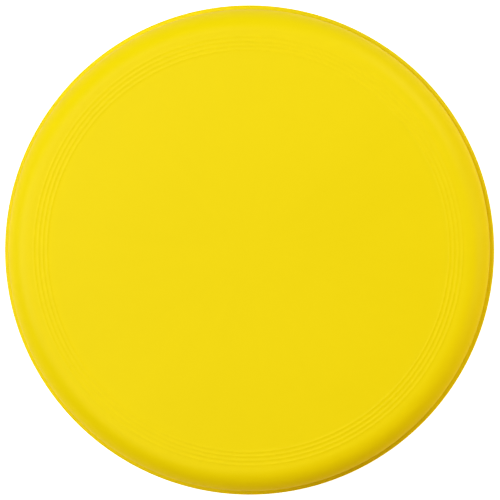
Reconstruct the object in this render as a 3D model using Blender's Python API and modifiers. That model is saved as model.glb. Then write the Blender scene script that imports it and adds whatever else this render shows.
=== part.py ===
"""Flying disc: a turned shell with a rim band snapped round the lower edge of its skirt.

Units are metres and +Z is up. The disc lies as it flies, plate on top. The origin is the centre
of the rim band's foot, the flat ring that the disc rests on.
"""

from math import cos, pi, radians, sin

import bpy

OBJECT_NAME = "flying_disc"
SEGMENTS = 72

# Driving dimensions
OUTER_RADIUS = 0.1050
SKIRT_RADIUS = 0.10275
TOP_HEIGHT = 0.0220
PLATE_WALL = 0.0013
SKIRT_WALL = 0.0016
GAP = 0.0003

# The plate: a flat middle, then a slight fall towards the flight rings
FLAT_RADIUS = 0.0450
CROWN_DROP = 0.0006
CROWN_STEPS = 3
RIDGE_COUNT = 4
RIDGE_PITCH = 0.00187
FIRST_RIDGE_RADIUS = 0.08505
RIDGE_WIDTH = 0.0016
RIDGE_HEIGHT = 0.0001

# The shoulder: a quarter of an ellipse, from the plate down to the skirt
SHOULDER_START_RADIUS = 0.0925
SHOULDER_FOOT_HEIGHT = 0.0096
SHOULDER_STEPS = 8

# The rim band: a channel that wraps the skirt's lower edge
BAND_HEIGHT = 0.0046
BAND_FLOOR = 0.0017
BAND_INNER_RADIUS = 0.0991
BAND_INNER_HEIGHT = 0.0060
BAND_ROUNDING = 0.0010
ROUNDING_STEPS = 4

# The snap bead on the inside of the skirt's lower edge, and its groove in the band
BEAD_DEPTH = 0.0007
BEAD_HEIGHT = 0.0016
BEAD_SLOPE = 0.0008
EDGE_CHAMFER = 0.0003

# The moulding gate at the centre of the underside
GATE_WELL_RADIUS = 0.0060
GATE_WELL_DEPTH = 0.0004
GATE_NUB_RADIUS = 0.0014
GATE_NUB_HEIGHT = 0.0006

YELLOW = (0.90, 0.72, 0.006, 1.0)
BAND_YELLOW = (0.88, 0.70, 0.006, 1.0)


def clear_scene():
    for obj in list(bpy.data.objects):
        bpy.data.objects.remove(obj, do_unlink=True)


def new_collection(name):
    collection = bpy.data.collections.new(name)
    bpy.context.scene.collection.children.link(collection)
    return collection


def plastic(name, colour, roughness):
    material = bpy.data.materials.new(name)
    material.use_nodes = True
    shader = material.node_tree.nodes["Principled BSDF"]
    shader.inputs["Base Color"].default_value = colour
    shader.inputs["Roughness"].default_value = roughness
    shader.inputs["Metallic"].default_value = 0.0
    return material


def arc(centre, radii, start, end, steps):
    """Points (radius, height) on an ellipse, from angle start to angle end, in degrees."""
    angles = [radians(start + (end - start) * i / steps) for i in range(steps + 1)]
    return [(centre[0] + radii[0] * cos(a), centre[1] + radii[1] * sin(a)) for a in angles]


def plate_height(radius):
    """Height of the plate's upper face, without its flight rings."""
    past_flat = max(0.0, radius - FLAT_RADIUS) / (SHOULDER_START_RADIUS - FLAT_RADIUS)
    return TOP_HEIGHT - CROWN_DROP * past_flat ** 2


def crown_radii():
    """Radii between the flat middle and the first flight ring, both left out."""
    reach = FIRST_RIDGE_RADIUS - RIDGE_WIDTH / 2 - FLAT_RADIUS
    return [FLAT_RADIUS + reach * i / CROWN_STEPS for i in range(1, CROWN_STEPS)]


def flight_rings():
    """The ridges of the upper face, from the innermost outwards."""
    points = []
    for i in range(RIDGE_COUNT):
        middle = FIRST_RIDGE_RADIUS + i * RIDGE_PITCH
        for offset, rise in ((-0.5, 0.0), (-0.2, 1.0), (0.2, 1.0), (0.5, 0.0)):
            radius = middle + offset * RIDGE_WIDTH
            points.append((radius, plate_height(radius) + rise * RIDGE_HEIGHT))
    return points


def shell_profile():
    """From the axis over the top, down the outside, up the inside and back to the axis."""
    skirt_inside = SKIRT_RADIUS - SKIRT_WALL
    bead_radius = skirt_inside - BEAD_DEPTH
    skirt_foot = BAND_FLOOR + GAP
    bead_top = skirt_foot + BEAD_HEIGHT
    shoulder_top = plate_height(SHOULDER_START_RADIUS)
    shoulder_centre = (SHOULDER_START_RADIUS, SHOULDER_FOOT_HEIGHT)
    outer_radii = (SKIRT_RADIUS - SHOULDER_START_RADIUS, shoulder_top - SHOULDER_FOOT_HEIGHT)
    inner_radii = (outer_radii[0] - SKIRT_WALL, outer_radii[1] - PLATE_WALL)
    under = TOP_HEIGHT - PLATE_WALL
    well = under + GATE_WELL_DEPTH

    points = [(0.0, TOP_HEIGHT), (FLAT_RADIUS, TOP_HEIGHT)]
    points += [(radius, plate_height(radius)) for radius in crown_radii()]
    points += flight_rings()
    points += arc(shoulder_centre, outer_radii, 90, 0, SHOULDER_STEPS)
    points += [
        (SKIRT_RADIUS, skirt_foot + EDGE_CHAMFER),
        (SKIRT_RADIUS - EDGE_CHAMFER, skirt_foot),
        (bead_radius + EDGE_CHAMFER, skirt_foot),
        (bead_radius, skirt_foot + EDGE_CHAMFER),
        (bead_radius, bead_top),
        (skirt_inside, bead_top + BEAD_SLOPE),
    ]
    points += arc(shoulder_centre, inner_radii, 0, 90, SHOULDER_STEPS)
    points += [(radius, plate_height(radius) - PLATE_WALL) for radius in reversed(crown_radii())]
    points += [
        (FLAT_RADIUS, under),
        (GATE_WELL_RADIUS + GATE_WELL_DEPTH, under),
        (GATE_WELL_RADIUS, well),
        (GATE_NUB_RADIUS, well),
        (GATE_NUB_RADIUS, well - GATE_NUB_HEIGHT),
        (0.0, well - GATE_NUB_HEIGHT),
    ]
    return points


def band_profile():
    """Once round the channel: over the outer leg, down, under, up, and through the groove."""
    outer_leg_inside = SKIRT_RADIUS + GAP
    lip_radius = SKIRT_RADIUS - SKIRT_WALL - GAP
    groove_radius = lip_radius - BEAD_DEPTH
    groove_top = BAND_FLOOR + GAP + BEAD_HEIGHT + GAP
    foot_rounding = BAND_ROUNDING / 2
    outer_centre = OUTER_RADIUS - BAND_ROUNDING
    inner_centre = BAND_INNER_RADIUS + BAND_ROUNDING
    round_radii = (BAND_ROUNDING, BAND_ROUNDING)

    points = [(outer_leg_inside, BAND_HEIGHT)]
    points += arc((outer_centre, BAND_HEIGHT - BAND_ROUNDING), round_radii, 90, 0, ROUNDING_STEPS)
    points += [
        (OUTER_RADIUS, foot_rounding),
        (OUTER_RADIUS - foot_rounding, 0.0),
        (BAND_INNER_RADIUS + foot_rounding, 0.0),
        (BAND_INNER_RADIUS, foot_rounding),
    ]
    points += arc((inner_centre, BAND_INNER_HEIGHT - BAND_ROUNDING), round_radii, 180, 90, ROUNDING_STEPS)
    points += [
        (lip_radius - EDGE_CHAMFER, BAND_INNER_HEIGHT),
        (lip_radius, BAND_INNER_HEIGHT - EDGE_CHAMFER),
        (lip_radius, groove_top + BEAD_SLOPE),
        (groove_radius, groove_top),
        (groove_radius, BAND_FLOOR),
        (outer_leg_inside, BAND_FLOOR),
    ]
    return points


def turned(name, profile, closed, material, collection):
    """A profile in the XZ plane turned once about the Z axis."""
    mesh = bpy.data.meshes.new(name)
    corners = [(radius, 0.0, height) for radius, height in profile]
    edges = [(i, i + 1) for i in range(len(corners) - 1)]
    if closed:
        edges.append((len(corners) - 1, 0))
    mesh.from_pydata(corners, edges, [])
    mesh.materials.append(material)
    obj = bpy.data.objects.new(name, mesh)
    collection.objects.link(obj)

    screw = obj.modifiers.new("turn", "SCREW")
    screw.axis = "Z"
    screw.angle = 2 * pi
    screw.steps = SEGMENTS
    screw.render_steps = SEGMENTS
    screw.use_merge_vertices = True
    screw.merge_threshold = 0.00001
    screw.use_smooth_shade = True
    return obj


def sharpen_edges(obj, degrees):
    """Turns the modifier into mesh, then shades it smooth with its corners left sharp."""
    depsgraph = bpy.context.evaluated_depsgraph_get()
    mesh = bpy.data.meshes.new_from_object(obj.evaluated_get(depsgraph))
    mesh.name = obj.name
    obj.modifiers.clear()
    obj.data = mesh
    mesh.shade_smooth()
    mesh.set_sharp_from_angle(angle=radians(degrees))


def make_shell(collection):
    material = plastic("shell_plastic", YELLOW, 0.40)
    shell = turned("disc_shell", shell_profile(), False, material, collection)
    sharpen_edges(shell, 25)
    return shell


def make_band(collection):
    material = plastic("band_plastic", BAND_YELLOW, 0.45)
    band = turned("rim_band", band_profile(), True, material, collection)
    sharpen_edges(band, 25)
    return band


def main():
    clear_scene()
    collection = new_collection(OBJECT_NAME)
    root = bpy.data.objects.new(OBJECT_NAME, None)
    collection.objects.link(root)
    for piece in (make_shell(collection), make_band(collection)):
        piece.parent = root


main()
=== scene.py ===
"""The looks of the flying disc: fine turned surfaces, satin plastic, a pale floor, soft light.

Each piece stands for the CAD node of the same shape. Units are metres and +Z is up.
"""

from math import acos, cos, pi, radians, sin, tan

import bpy
from mathutils import Matrix, Vector


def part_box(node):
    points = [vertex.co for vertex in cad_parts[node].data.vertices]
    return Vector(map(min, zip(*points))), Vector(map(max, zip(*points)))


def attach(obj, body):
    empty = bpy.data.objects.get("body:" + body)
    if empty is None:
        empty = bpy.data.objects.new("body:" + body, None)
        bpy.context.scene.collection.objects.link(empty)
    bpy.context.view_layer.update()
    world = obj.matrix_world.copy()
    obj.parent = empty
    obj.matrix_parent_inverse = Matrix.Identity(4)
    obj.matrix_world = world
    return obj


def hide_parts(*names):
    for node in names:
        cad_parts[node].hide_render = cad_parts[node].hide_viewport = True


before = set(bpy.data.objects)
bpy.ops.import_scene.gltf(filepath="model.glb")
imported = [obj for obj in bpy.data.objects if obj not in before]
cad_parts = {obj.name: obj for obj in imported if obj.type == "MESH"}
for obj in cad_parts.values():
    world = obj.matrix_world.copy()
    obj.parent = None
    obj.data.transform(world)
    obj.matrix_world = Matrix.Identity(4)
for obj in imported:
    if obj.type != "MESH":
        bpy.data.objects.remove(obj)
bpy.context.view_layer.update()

# Sizes read from the frame
shell_low, shell_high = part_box("disc_shell")
band_low, band_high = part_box("rim_band")
OUTER_RADIUS = band_high.x
SKIRT_RADIUS = shell_high.x
TOP_HEIGHT = shell_high.z
SKIRT_FOOT = shell_low.z
BAND_INNER_HEIGHT = band_high.z
FLOOR_HEIGHT = band_low.z

# Sizes inside those boxes, as the CAD model has them
GAP = 0.0003
PLATE_WALL = 0.0013
SKIRT_WALL = 0.0016
FLAT_RADIUS = 0.0450
CROWN_DROP = 0.0006
RIDGE_COUNT = 4
RIDGE_PITCH = 0.00187
FIRST_RIDGE_RADIUS = 0.08505
RIDGE_WIDTH = 0.0016
RIDGE_HEIGHT = 0.0001
SHOULDER_START_RADIUS = 0.0925
SHOULDER_FOOT_HEIGHT = 0.0096
BAND_HEIGHT = 0.0046
BAND_INNER_RADIUS = 0.0991
BAND_ROUNDING = 0.0010
BEAD_DEPTH = 0.0007
BEAD_HEIGHT = 0.0016
BEAD_SLOPE = 0.0008
GATE_WELL_RADIUS = 0.0060
GATE_WELL_DEPTH = 0.0004
GATE_NUB_RADIUS = 0.0014
GATE_NUB_HEIGHT = 0.0006

# Details finer than the CAD model's
EDGE_ROUNDING = 0.0003
BEAD_SLOPE_ROUNDING = 0.0004
CHANNEL_ROUNDING = 0.0002
NUB_ROUNDING = 0.0002
NUB_TAPER = 0.0001
GATE_SURROUND_RADIUS = 0.0096
SKIRT_LINE_START = 0.0004  # below the shoulder's foot, where the skirt's straight lines begin

# How finely the turned surfaces are made
SEGMENTS = 288
PLATE_STEPS = 24
GATE_PLATE_STEPS = 3  # the innermost of those, which the gate takes up on the underside
RIDGE_STEPS = 12
SHOULDER_STEPS = 40
FILLET_STEPS = 6
SHARP_ANGLE = radians(40)

# The satin plastic. Clouds and streaks are added up to one pattern, which runs from low to high.
YELLOW = (0.90, 0.725, 0.0005)
IOR = 1.49
SPECULAR_LEVEL = 0.10
CLOUD_SCALE = 14.0
STREAK_AROUND = 9.0
STREAK_OUTWARD = 12.0
STREAK_SHARE = 0.3
PATTERN_LOW = 0.45
PATTERN_HIGH = 0.85
TINT_CHANGE = 0.01
ROUGHNESS_CHANGE = 0.04
GRAIN_SCALE = 2600.0
GRAIN_HEIGHT = 0.00002

# Camera and stage
CAMERA_HEIGHT = 1.1898
CAMERA_LENS = 200.0
CAMERA_AIM_X = 0.00046
CAMERA_AIM_Y = 0.00013
LEAN_X = radians(1.6)
LEAN_Y = radians(0.75)
CAMERA_NEAR = 0.05
CAMERA_FAR = 50.0
FLOOR_SIZE = 5.0
FLOOR_GAP = 0.0001
FLOOR_COLOUR = (0.9, 0.9, 0.9, 1.0)
FLOOR_ROUGHNESS = 0.9
FLOOR_GLOW = 1.0
FLOOR_BOUNCE = (0.1, 0.1, 0.1, 1.0)
FLOOR_UPLIGHT = 1.06
FLOOR_PALE = (1.0, 0.85, 0.50, 1.0)
FLOOR_WARM = (1.0, 0.78, 0.0, 1.0)
FLOOR_PALE_AZIMUTH = radians(120)
FLOOR_BLEND = 0.15
SOFTBOX_DISTANCE = 1.4
SOFTBOX_SIZE = 0.8
WHITE = (1.0, 1.0, 1.0)
WARM = (1.0, 0.42, 0.06)

# Soft lights round the disc: azimuth, elevation, power in watts and colour
SOFTBOXES = (
    (180, 40, 7.9, WHITE),
    (135, 65, 6.4, WHITE),
    (225, 65, 2.95, WHITE),
    (45, 40, 7.1, WHITE),
    (0, 15, 3.3, WHITE),
    (315, 40, 2.7, WARM),
)


def arc(centre, radii, start, end, steps):
    """Points (radius, height) on an ellipse, from angle start to angle end, in degrees."""
    angles = [radians(start + (end - start) * i / steps) for i in range(steps + 1)]
    return [(centre[0] + radii[0] * cos(a), centre[1] + radii[1] * sin(a)) for a in angles]


def fillet(before, corner, after, radius):
    """The corner rounded by an arc of the given radius."""
    to_before = (Vector(before) - Vector(corner)).normalized()
    to_after = (Vector(after) - Vector(corner)).normalized()
    half = acos(max(-1.0, min(1.0, to_before.dot(to_after)))) / 2
    start = Vector(corner) + to_before * radius / tan(half)
    end = Vector(corner) + to_after * radius / tan(half)
    middle = Vector(corner) + (to_before + to_after).normalized() * radius / sin(half)
    points = []
    for i in range(FILLET_STEPS + 1):
        chord = start.lerp(end, i / FILLET_STEPS)
        points.append(tuple(middle + (chord - middle).normalized() * radius))
    return points


def rounded(corners, closed=False):
    """A line through corners (radius, height, rounding), with each corner rounded."""
    points = []
    for i, (x, z, rounding) in enumerate(corners):
        at_end = not closed and i in (0, len(corners) - 1)
        if rounding == 0 or at_end:
            points.append((x, z))
            continue
        before = corners[i - 1][:2]
        after = corners[(i + 1) % len(corners)][:2]
        points += fillet(before, (x, z), after, rounding)
    return points


def plate_height(radius):
    """Height of the plate's upper face, without its flight rings."""
    past_flat = max(0.0, radius - FLAT_RADIUS) / (SHOULDER_START_RADIUS - FLAT_RADIUS)
    return TOP_HEIGHT - CROWN_DROP * past_flat ** 2


def flight_rings():
    """The rounded ridges of the upper face, from the innermost outwards."""
    points = []
    for i in range(RIDGE_COUNT):
        middle = FIRST_RIDGE_RADIUS + i * RIDGE_PITCH
        for j in range(RIDGE_STEPS + 1):
            across = j / RIDGE_STEPS - 0.5
            radius = middle + across * RIDGE_WIDTH
            rise = RIDGE_HEIGHT * cos(pi * across) ** 2
            points.append((radius, plate_height(radius) + rise))
    return points


def plate_radii():
    """Radii on the plate between its axis and the flight rings."""
    reach = FIRST_RIDGE_RADIUS - RIDGE_WIDTH / 2
    return [reach * i / PLATE_STEPS for i in range(1, PLATE_STEPS)]


def shell_profile():
    """From the axis over the top, down the outside, up the inside and back to the axis."""
    skirt_inside = SKIRT_RADIUS - SKIRT_WALL
    bead_radius = skirt_inside - BEAD_DEPTH
    bead_top = SKIRT_FOOT + BEAD_HEIGHT
    shoulder_top = plate_height(SHOULDER_START_RADIUS)
    shoulder_centre = (SHOULDER_START_RADIUS, SHOULDER_FOOT_HEIGHT)
    outer_radii = (SKIRT_RADIUS - SHOULDER_START_RADIUS, shoulder_top - SHOULDER_FOOT_HEIGHT)
    inner_radii = (outer_radii[0] - SKIRT_WALL, outer_radii[1] - PLATE_WALL)
    line_start = SHOULDER_FOOT_HEIGHT - SKIRT_LINE_START
    under = TOP_HEIGHT - PLATE_WALL
    well = under + GATE_WELL_DEPTH

    points = [(0.0, TOP_HEIGHT)]
    points += [(radius, plate_height(radius)) for radius in plate_radii()]
    points += flight_rings()
    points += arc(shoulder_centre, outer_radii, 90, 0, SHOULDER_STEPS)
    points += rounded([
        (SKIRT_RADIUS, line_start, 0),
        (SKIRT_RADIUS, SKIRT_FOOT, EDGE_ROUNDING),
        (bead_radius, SKIRT_FOOT, EDGE_ROUNDING),
        (bead_radius, bead_top, EDGE_ROUNDING),
        (skirt_inside, bead_top + BEAD_SLOPE, BEAD_SLOPE_ROUNDING),
        (skirt_inside, line_start, 0),
    ])
    points += arc(shoulder_centre, inner_radii, 0, 90, SHOULDER_STEPS)
    inner_plate = reversed(plate_radii()[GATE_PLATE_STEPS:])
    points += [(radius, plate_height(radius) - PLATE_WALL) for radius in inner_plate]
    points += rounded([
        (GATE_SURROUND_RADIUS, under, 0),
        (GATE_WELL_RADIUS + GATE_WELL_DEPTH, under, EDGE_ROUNDING),
        (GATE_WELL_RADIUS, well, EDGE_ROUNDING),
        (GATE_NUB_RADIUS + NUB_TAPER, well, NUB_ROUNDING),
        (GATE_NUB_RADIUS, well - GATE_NUB_HEIGHT, NUB_ROUNDING),
        (0.0, well - GATE_NUB_HEIGHT, 0),
    ])
    return points


def band_profile():
    """Once round the channel: over the outer leg, down, under, up, and through the groove."""
    outer_leg_inside = SKIRT_RADIUS + GAP
    lip_radius = SKIRT_RADIUS - SKIRT_WALL - GAP
    groove_radius = lip_radius - BEAD_DEPTH
    channel_floor = SKIRT_FOOT - GAP
    groove_top = SKIRT_FOOT + BEAD_HEIGHT + GAP
    return rounded([
        (outer_leg_inside, BAND_HEIGHT, CHANNEL_ROUNDING),
        (OUTER_RADIUS, BAND_HEIGHT, BAND_ROUNDING),
        (OUTER_RADIUS, FLOOR_HEIGHT, BAND_ROUNDING / 2),
        (BAND_INNER_RADIUS, FLOOR_HEIGHT, BAND_ROUNDING / 2),
        (BAND_INNER_RADIUS, BAND_INNER_HEIGHT, BAND_ROUNDING),
        (lip_radius, BAND_INNER_HEIGHT, EDGE_ROUNDING),
        (lip_radius, groove_top + BEAD_SLOPE, EDGE_ROUNDING),
        (groove_radius, groove_top, EDGE_ROUNDING),
        (groove_radius, channel_floor, CHANNEL_ROUNDING),
        (outer_leg_inside, channel_floor, CHANNEL_ROUNDING),
    ], closed=True)


def turned(name, profile, closed, material):
    """A closed mesh from a profile turned about the Z axis. A profile end on the axis is one point."""
    corners, rings = [], []
    for radius, height in profile:
        count = 1 if radius == 0.0 else SEGMENTS
        rings.append(range(len(corners), len(corners) + count))
        for i in range(count):
            turn = 2 * pi * i / SEGMENTS
            corners.append((radius * cos(turn), radius * sin(turn), height))
    pairs = list(zip(rings, rings[1:]))
    if closed:
        pairs.append((rings[-1], rings[0]))
    faces = []
    for upper, lower in pairs:
        for i in range(SEGMENTS):
            following = (i + 1) % SEGMENTS
            ring = [upper[i % len(upper)], lower[i % len(lower)]]
            ring += [lower[following % len(lower)], upper[following % len(upper)]]
            faces.append(tuple(dict.fromkeys(ring)))
    mesh = bpy.data.meshes.new(name)
    mesh.from_pydata(corners, [], faces)
    mesh.materials.append(material)
    mesh.shade_smooth()
    mesh.set_sharp_from_angle(angle=SHARP_ANGLE)
    piece = bpy.data.objects.new(name, mesh)
    bpy.context.scene.collection.objects.link(piece)
    return piece


class Nodes:
    """Short ways to add and join the nodes of one material."""

    def __init__(self, name):
        self.material = bpy.data.materials.new(name)
        self.material.use_nodes = True
        self.tree = self.material.node_tree
        self.shader = self.tree.nodes["Principled BSDF"]

    def add(self, kind, inputs=None, **settings):
        node = self.tree.nodes.new(kind)
        for key, value in settings.items():
            setattr(node, key, value)
        for socket, value in (inputs or {}).items():
            if isinstance(value, bpy.types.NodeSocket):
                self.tree.links.new(value, node.inputs[socket])
            else:
                node.inputs[socket].default_value = value
        return node

    def link(self, output, socket):
        self.tree.links.new(output, self.shader.inputs[socket])


def satin_plastic(name, roughness, grain):
    """Moulded plastic: a faint cloudiness, weak flow streaks from the gate and a fine grain."""
    nodes = Nodes(name)
    place = nodes.add("ShaderNodeTexCoord").outputs["Object"]

    cloud = nodes.add("ShaderNodeTexNoise", {"Vector": place, "Scale": CLOUD_SCALE, "Detail": 3.0})
    flat = nodes.add("ShaderNodeVectorMath", {0: place, 1: (1.0, 1.0, 0.0)}, operation="MULTIPLY")
    way = nodes.add("ShaderNodeVectorMath", {0: flat.outputs[0]}, operation="NORMALIZE")
    fan = nodes.add("ShaderNodeVectorMath", {
        0: way.outputs[0], "Scale": STREAK_AROUND,
    }, operation="SCALE")
    distance = nodes.add("ShaderNodeVectorMath", {0: flat.outputs[0]}, operation="LENGTH")
    outward = nodes.add("ShaderNodeCombineXYZ", {"Z": distance.outputs["Value"]})
    stretch = nodes.add("ShaderNodeVectorMath", {
        0: outward.outputs[0], "Scale": STREAK_OUTWARD,
    }, operation="SCALE")
    streak_place = nodes.add("ShaderNodeVectorMath", {0: fan.outputs[0], 1: stretch.outputs[0]})
    streak = nodes.add("ShaderNodeTexNoise", {
        "Vector": streak_place.outputs[0], "Scale": 1.0, "Detail": 4.0,
    })
    pattern = nodes.add("ShaderNodeMath", {
        0: streak.outputs["Fac"], 1: STREAK_SHARE, 2: cloud.outputs["Fac"],
    }, operation="MULTIPLY_ADD")

    share = nodes.add("ShaderNodeMapRange", {
        "Value": pattern.outputs[0], "From Min": PATTERN_LOW, "From Max": PATTERN_HIGH,
    })
    tint = nodes.add("ShaderNodeMix", {
        "Factor": share.outputs[0],
        "A": tuple(c * (1.0 - TINT_CHANGE) for c in YELLOW) + (1.0,),
        "B": tuple(c * (1.0 + TINT_CHANGE) for c in YELLOW) + (1.0,),
    }, data_type="RGBA")
    nodes.link(tint.outputs["Result"], "Base Color")

    rough = nodes.add("ShaderNodeMapRange", {
        "Value": pattern.outputs[0], "From Min": PATTERN_LOW, "From Max": PATTERN_HIGH,
        "To Min": roughness - ROUGHNESS_CHANGE, "To Max": roughness + ROUGHNESS_CHANGE,
    })
    nodes.link(rough.outputs[0], "Roughness")

    fine = nodes.add("ShaderNodeTexNoise", {"Vector": place, "Scale": GRAIN_SCALE, "Detail": 2.0})
    bump = nodes.add("ShaderNodeBump", {
        "Height": fine.outputs["Fac"], "Strength": grain, "Distance": GRAIN_HEIGHT,
    })
    nodes.link(bump.outputs[0], "Normal")
    nodes.shader.inputs["IOR"].default_value = IOR
    nodes.shader.inputs["Specular IOR Level"].default_value = SPECULAR_LEVEL
    return nodes.material


def make_shell():
    material = satin_plastic("shell_satin", roughness=0.42, grain=0.5)
    piece = turned("shell_surface", shell_profile(), False, material)
    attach(piece, "root")
    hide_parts("disc_shell")


def make_band():
    material = satin_plastic("band_satin", roughness=0.44, grain=0.6)
    piece = turned("band_surface", band_profile(), True, material)
    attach(piece, "root")
    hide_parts("rim_band")


def make_floor():
    """A pale floor, lit up to white for the camera and seen through from below.

    Towards the disc it gives a dim bounce and a glow, pale on one side and warm on the other.
    """
    nodes = Nodes("floor_white")
    seen = nodes.shader
    seen.inputs["Base Color"].default_value = FLOOR_COLOUR
    seen.inputs["Roughness"].default_value = FLOOR_ROUGHNESS
    seen.inputs["Emission Color"].default_value = (1.0, 1.0, 1.0, 1.0)
    seen.inputs["Emission Strength"].default_value = FLOOR_GLOW
    place = nodes.add("ShaderNodeTexCoord").outputs["Object"]
    pale_way = (cos(FLOOR_PALE_AZIMUTH), sin(FLOOR_PALE_AZIMUTH), 0.0)
    across = nodes.add("ShaderNodeVectorMath", {0: place, 1: pale_way}, operation="DOT_PRODUCT")
    share = nodes.add("ShaderNodeMapRange", {
        "Value": across.outputs["Value"], "From Min": -FLOOR_BLEND, "From Max": FLOOR_BLEND,
    })
    uplight = nodes.add("ShaderNodeMix", {
        "Factor": share.outputs[0], "A": FLOOR_WARM, "B": FLOOR_PALE,
    }, data_type="RGBA")
    bounce = nodes.add("ShaderNodeBsdfPrincipled", {
        "Base Color": FLOOR_BOUNCE, "Roughness": FLOOR_ROUGHNESS,
        "Emission Color": uplight.outputs["Result"], "Emission Strength": FLOOR_UPLIGHT,
    })
    clear = nodes.add("ShaderNodeBsdfTransparent")
    ray = nodes.add("ShaderNodeLightPath").outputs["Is Camera Ray"]
    back = nodes.add("ShaderNodeNewGeometry").outputs["Backfacing"]
    front = nodes.add("ShaderNodeMixShader", {0: ray, 1: bounce.outputs[0], 2: seen.outputs[0]})
    whole = nodes.add("ShaderNodeMixShader", {0: back, 1: front.outputs[0], 2: clear.outputs[0]})
    nodes.tree.links.new(whole.outputs[0], nodes.tree.nodes["Material Output"].inputs["Surface"])
    bpy.ops.mesh.primitive_plane_add(size=FLOOR_SIZE, location=(0, 0, FLOOR_HEIGHT - FLOOR_GAP))
    floor = bpy.context.object
    floor.name = "floor"
    floor.data.materials.append(nodes.material)


def make_world():
    """Plain white behind the floor's far edge. Only the camera sees it, and it gives no light."""
    world = bpy.data.worlds.new("studio")
    world.use_nodes = True
    tree = world.node_tree
    backdrop = tree.nodes["Background"]
    backdrop.inputs["Color"].default_value = (1.0, 1.0, 1.0, 1.0)
    ray = tree.nodes.new("ShaderNodeLightPath")
    tree.links.new(ray.outputs["Is Camera Ray"], backdrop.inputs["Strength"])
    bpy.context.scene.world = world


def make_softbox(azimuth, elevation, power, colour):
    """A round soft lamp aimed at the disc. Azimuth turns from +X towards +Y, in degrees."""
    name = f"softbox_{azimuth}_{elevation}"
    lamp = bpy.data.lights.new(name, "AREA")
    lamp.shape = "DISK"
    lamp.size = SOFTBOX_SIZE
    lamp.energy = power
    lamp.color = colour
    box = bpy.data.objects.new(name, lamp)
    turn, rise = radians(azimuth), radians(elevation)
    toward = Vector((cos(turn) * cos(rise), sin(turn) * cos(rise), sin(rise)))
    box.location = toward * SOFTBOX_DISTANCE
    box.rotation_mode = "QUATERNION"
    box.rotation_quaternion = toward.to_track_quat("Z", "Y")
    bpy.context.scene.collection.objects.link(box)


def make_camera():
    """Nearly straight overhead, leaning a little. +Y is up in the picture."""
    data = bpy.data.cameras.new("camera")
    data.lens = CAMERA_LENS
    data.clip_start = CAMERA_NEAR
    data.clip_end = CAMERA_FAR
    camera = bpy.data.objects.new("camera", data)
    aim = Vector((CAMERA_AIM_X, CAMERA_AIM_Y, BAND_HEIGHT))
    camera.location = aim + CAMERA_HEIGHT * Vector((tan(LEAN_X), tan(LEAN_Y), 1.0))
    back = (camera.location - aim).normalized()
    right = Vector((0.0, 1.0, 0.0)).cross(back).normalized()
    camera.rotation_mode = "QUATERNION"
    camera.rotation_quaternion = Matrix((right, back.cross(right), back)).transposed().to_quaternion()
    bpy.context.scene.collection.objects.link(camera)
    bpy.context.scene.camera = camera


bpy.context.scene.view_settings.view_transform = "Standard"
make_shell()
make_band()
make_floor()
make_world()
for azimuth, elevation, power, colour in SOFTBOXES:
    make_softbox(azimuth, elevation, power, colour)
make_camera()
